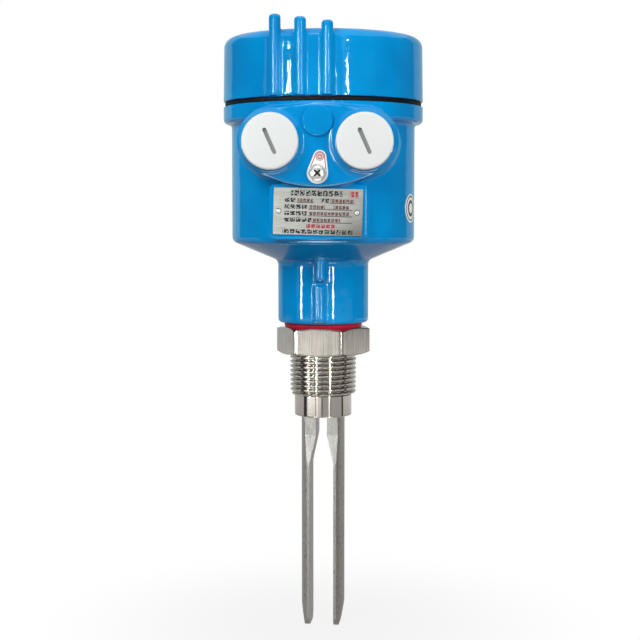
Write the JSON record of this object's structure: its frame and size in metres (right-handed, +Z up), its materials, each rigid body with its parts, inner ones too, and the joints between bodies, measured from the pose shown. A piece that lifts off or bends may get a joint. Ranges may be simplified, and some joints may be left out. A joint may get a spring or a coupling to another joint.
{
  "type": "tuning fork level switch",
  "caption": "Vibrating fork level switch: steel fork probe with hexagon and pipe thread below a cast blue wiring housing with screw lid and plugged conduit entries.",
  "frame": {"origin": "on the probe's axis, in the plane where the process thread starts, just below the hexagon", "axes": "+Z up along the probe toward the lid, -Y toward the front with the conduit entries, +X to the right"},
  "size_m": [0.0984, 0.1065, 0.2997],
  "materials": {
    "housing_paint": "glossy blue enamel on cast aluminium",
    "lid_paint": "glossy blue enamel on cast aluminium",
    "black_rubber": "matt",
    "white_nylon": "satin",
    "tag": "white with red print",
    "plated": "bright nickel plate",
    "plate": "satin sheet",
    "rivet": "satin",
    "label": "printed film",
    "red_rubber": "satin",
    "steel": "turned stainless steel",
    "fork_steel": "milled stainless steel",
    "stack_steel": "turned",
    "ceramic": "fired",
    "electrode": "bright strip",
    "lead": "insulated wire",
    "resin": "cast resin",
    "cup": "moulded",
    "board": "solder resist",
    "block": "moulded",
    "lamp": "clear red",
    "slider": "moulded"
  },
  "bodies": {
    "housing": {"housing": "housing_paint", "earth_tag": "tag", "earth_washer": "plated", "earth_screw": "plated", "nameplate": "plate", "nameplate_rivets": "rivet", "round_label": "label", "neck_gasket": "red_rubber", "process_connection": "steel", "fork": "fork_steel", "stack_insulators": "ceramic", "piezo_rings": "ceramic", "electrodes": "electrode", "clamp_stud": "stack_steel", "clamp_washer": "stack_steel", "clamp_nut": "stack_steel", "sensor_leads": "lead", "lead_seal": "resin", "electronics_cup": "cup", "potting": "resin", "module_screws": "plated", "circuit_board": "board", "terminal_block": "block", "terminal_screws": "plated", "relay": "cup", "status_lamp": "lamp", "mode_switch": "cup", "inner_earth_washer": "plated", "inner_earth_screw": "plated"},
    "lid_seal": {"lid_seal": "black_rubber"},
    "lid": {"lid": "lid_paint"},
    "plug_ring_left": {"plug_ring_left": "black_rubber"},
    "conduit_plug_left": {"conduit_plug_left": "white_nylon"},
    "plug_ring_right": {"plug_ring_right": "black_rubber"},
    "conduit_plug_right": {"conduit_plug_right": "white_nylon"},
    "mode_slider": {"mode_slider": "slider"}
  },
  "joints": [
    {"name": "lid_lift", "type": "slide", "parent": "housing", "child": "lid_seal", "axis": [0, 0, 1], "range_m": [0, 0.012]},
    {"name": "lid_turn", "type": "hinge", "parent": "lid_seal", "child": "lid", "pos_m": [0, 0, 0.14], "axis": [0, 0, 1], "range_deg": [0, 2160]},
    {"name": "plug_left_out", "type": "slide", "parent": "housing", "child": "plug_ring_left", "axis": [0, -1, 0], "range_m": [0, 0.0105]},
    {"name": "plug_left_turn", "type": "hinge", "parent": "plug_ring_left", "child": "conduit_plug_left", "pos_m": [-0.02185, -0.05, 0.1035], "axis": [0, -1, 0], "range_deg": [0, 2520]},
    {"name": "plug_right_out", "type": "slide", "parent": "housing", "child": "plug_ring_right", "axis": [0, -1, 0], "range_m": [0, 0.0105]},
    {"name": "plug_right_turn", "type": "hinge", "parent": "plug_ring_right", "child": "conduit_plug_right", "pos_m": [0.02185, -0.05, 0.1035], "axis": [0, -1, 0], "range_deg": [0, 2520]},
    {"name": "mode_slide", "type": "slide", "parent": "housing", "child": "mode_slider", "axis": [1, 0, 0], "range_m": [-0.0015, 0.0015]}
  ],
  "couplings": [
    {"joint": "lid_lift", "follows": "lid_turn", "m_per_rad": 0.0003183},
    {"joint": "plug_left_out", "follows": "plug_left_turn", "m_per_rad": 0.0002387},
    {"joint": "plug_right_out", "follows": "plug_right_turn", "m_per_rad": 0.0002387}
  ]
}
